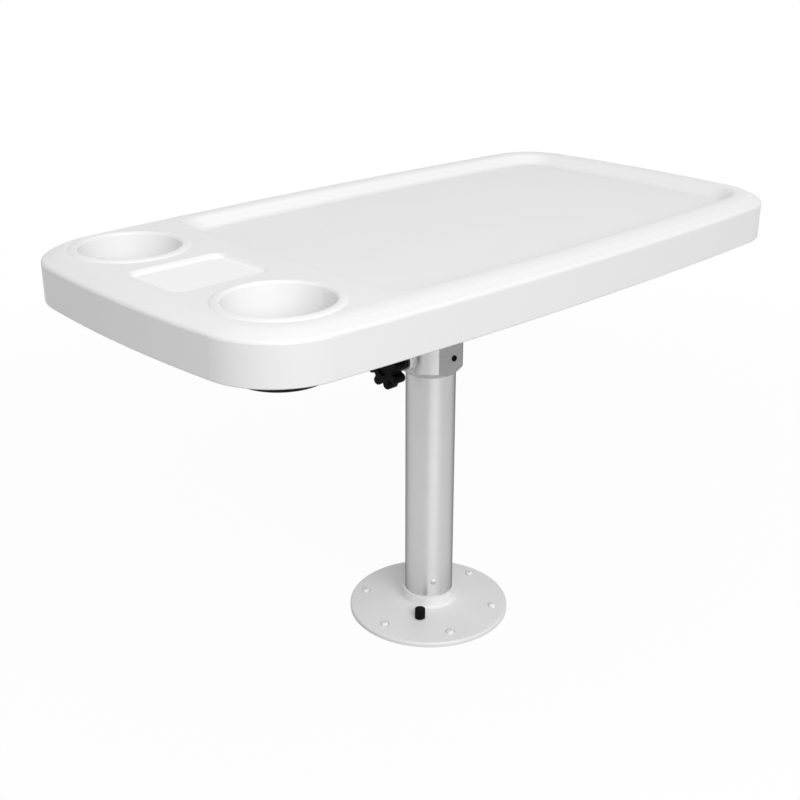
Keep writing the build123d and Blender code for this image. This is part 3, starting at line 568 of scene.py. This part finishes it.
def set_screw_plugs():
    """Black plugs with a socket over the set screws, on the collar's flats."""
    plugs = lathe("set_screw_plug", SET_PLUG)
    places = []
    for centre in solid_centres("collar_screws"):
        outward = -1.0 if centre.y < 0 else 1.0
        spot = Matrix.Translation((centre.x, outward * FLAT_Y, centre.z))
        places.append(spot @ Matrix.Rotation(-outward * pi / 2, 4, "X"))
    screw_group("set_screw_plugs", plugs.data, places, "pedestal", "black_plastic")
    bpy.data.objects.remove(plugs)


def latch_cover():
    """Thin painted washer under the thumb post that covers its slot and slides with it."""
    low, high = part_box("latch_button")
    middle = (low + high) / 2
    rim = [(COVER_R, 0), (COVER_R, COVER_THICKNESS), (COVER_HOLE_R, COVER_THICKNESS), (COVER_HOLE_R, 0),
           (COVER_R, 0)]
    cover = lathe("latch_cover", rim)
    outward = atan2(middle.y, middle.x)
    slope = Matrix.Rotation(outward, 4, "Z") @ Matrix.Rotation(atan2(DISH_DROP, 1.0), 4, "Y")
    cover.data.transform(Matrix.Translation((middle.x, middle.y, COVER_Z)) @ slope)
    cover.data.materials.append(MATERIALS["base_paint"])
    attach(cover, "latch")


def latch_coil():
    """Spring of the latch in place of the rigid one: a copy of its mesh with data of its own, riding on the
    pedestal.
    """
    coil = bpy.data.objects.new("latch_coil", nodes["latch_spring"].data.copy())
    bpy.context.scene.collection.objects.link(coil)
    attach(coil, "pedestal")
    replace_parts(coil, "latch_spring")
    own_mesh(coil)


# Studio

def background_rays(tree):
    """1 for the rays that should see a white background, 0 for the light that reaches matt surfaces."""
    rays = tree.nodes.new("ShaderNodeLightPath").outputs
    return plus(tree, rays["Is Camera Ray"], plus(tree, rays["Is Glossy Ray"], rays["Is Transmission Ray"]))


def make_world():
    """White behind the object, with a soft even light."""
    world = bpy.data.worlds.new("studio")
    world.use_nodes = True
    tree = world.node_tree
    background = tree.nodes["Background"]
    background.inputs["Color"].default_value = (1, 1, 1, 1)
    tree.links.new(spread(tree, background_rays(tree), AMBIENT, 1.0), background.inputs["Strength"])
    bpy.context.scene.world = world


def floor_white():
    """Material that looks white but for shadows, and throws back the light of a pale grey."""
    made = bpy.data.materials.new("floor_white")
    made.use_nodes = True
    tree = made.node_tree
    tree.nodes.clear()
    plain = tree.nodes.new("ShaderNodeBsdfDiffuse")
    plain.inputs["Color"].default_value = (*grey(FLOOR_ALBEDO), 1.0)
    pale = tree.nodes.new("ShaderNodeBsdfDiffuse")
    pale.inputs["Color"].default_value = (1, 1, 1, 1)
    glow = tree.nodes.new("ShaderNodeEmission")
    away = tree.nodes.new("ShaderNodeVectorMath")
    away.operation = "LENGTH"
    tree.links.new(tree.nodes.new("ShaderNodeTexCoord").outputs["Object"], away.inputs[0])
    white = tree.nodes.new("ShaderNodeMixShader")
    tree.links.new(spread(tree, away.outputs["Value"], FLOOR_GLOW, 1.0, *FLOOR_FADE), white.inputs["Fac"])
    tree.links.new(pale.outputs[0], white.inputs[1])
    tree.links.new(glow.outputs[0], white.inputs[2])
    choose = tree.nodes.new("ShaderNodeMixShader")
    tree.links.new(background_rays(tree), choose.inputs["Fac"])
    tree.links.new(plain.outputs[0], choose.inputs[1])
    tree.links.new(white.outputs[0], choose.inputs[2])
    output = tree.nodes.new("ShaderNodeOutputMaterial")
    tree.links.new(choose.outputs[0], output.inputs["Surface"])
    return made


def make_floor():
    """Pale floor that keeps the object's shadow."""
    form = bmesh.new()
    bmesh.ops.create_grid(form, x_segments=1, y_segments=1, size=FLOOR_SIZE / 2)
    floor = as_object("floor", form)
    floor.data.materials.append(floor_white())


def make_key_light():
    """Large soft box in front of the long side."""
    light = bpy.data.lights.new("key", "AREA")
    light.size = KEY_SIZE
    light.energy = KEY_POWER
    lamp = bpy.data.objects.new("key", light)
    towards = Vector((cos(KEY_AZIMUTH) * cos(KEY_ELEVATION), sin(KEY_AZIMUTH) * cos(KEY_ELEVATION),
                      sin(KEY_ELEVATION)))
    lamp.location = KEY_AIM + KEY_DISTANCE * towards
    lamp.rotation_euler = (-towards).to_track_quat("-Z", "Y").to_euler()
    bpy.context.scene.collection.objects.link(lamp)


def make_camera():
    """Camera at the photograph's place."""
    lens = bpy.data.cameras.new("camera")
    lens.lens = CAMERA_LENS
    lens.clip_end = 2 * FLOOR_SIZE
    camera = bpy.data.objects.new("camera", lens)
    ahead = Vector((sin(CAMERA_YAW) * cos(CAMERA_PITCH), cos(CAMERA_YAW) * cos(CAMERA_PITCH), -sin(CAMERA_PITCH)))
    right = Vector((cos(CAMERA_YAW), -sin(CAMERA_YAW), 0))
    turn = Matrix((right, right.cross(ahead), -ahead)).transposed()
    camera.matrix_world = Matrix.Translation(CAMERA_PLACE) @ turn.to_4x4()
    bpy.context.scene.collection.objects.link(camera)
    bpy.context.scene.camera = camera


dress_nodes()
under_screws("pan_screws", "table")
under_screws("mount_screws", "table")
pole_screws()
floor_screws()
set_screw_plugs()
latch_cover()
latch_coil()
make_world()
make_floor()
make_key_light()
make_camera()
bpy.context.scene.view_settings.view_transform = "Standard"
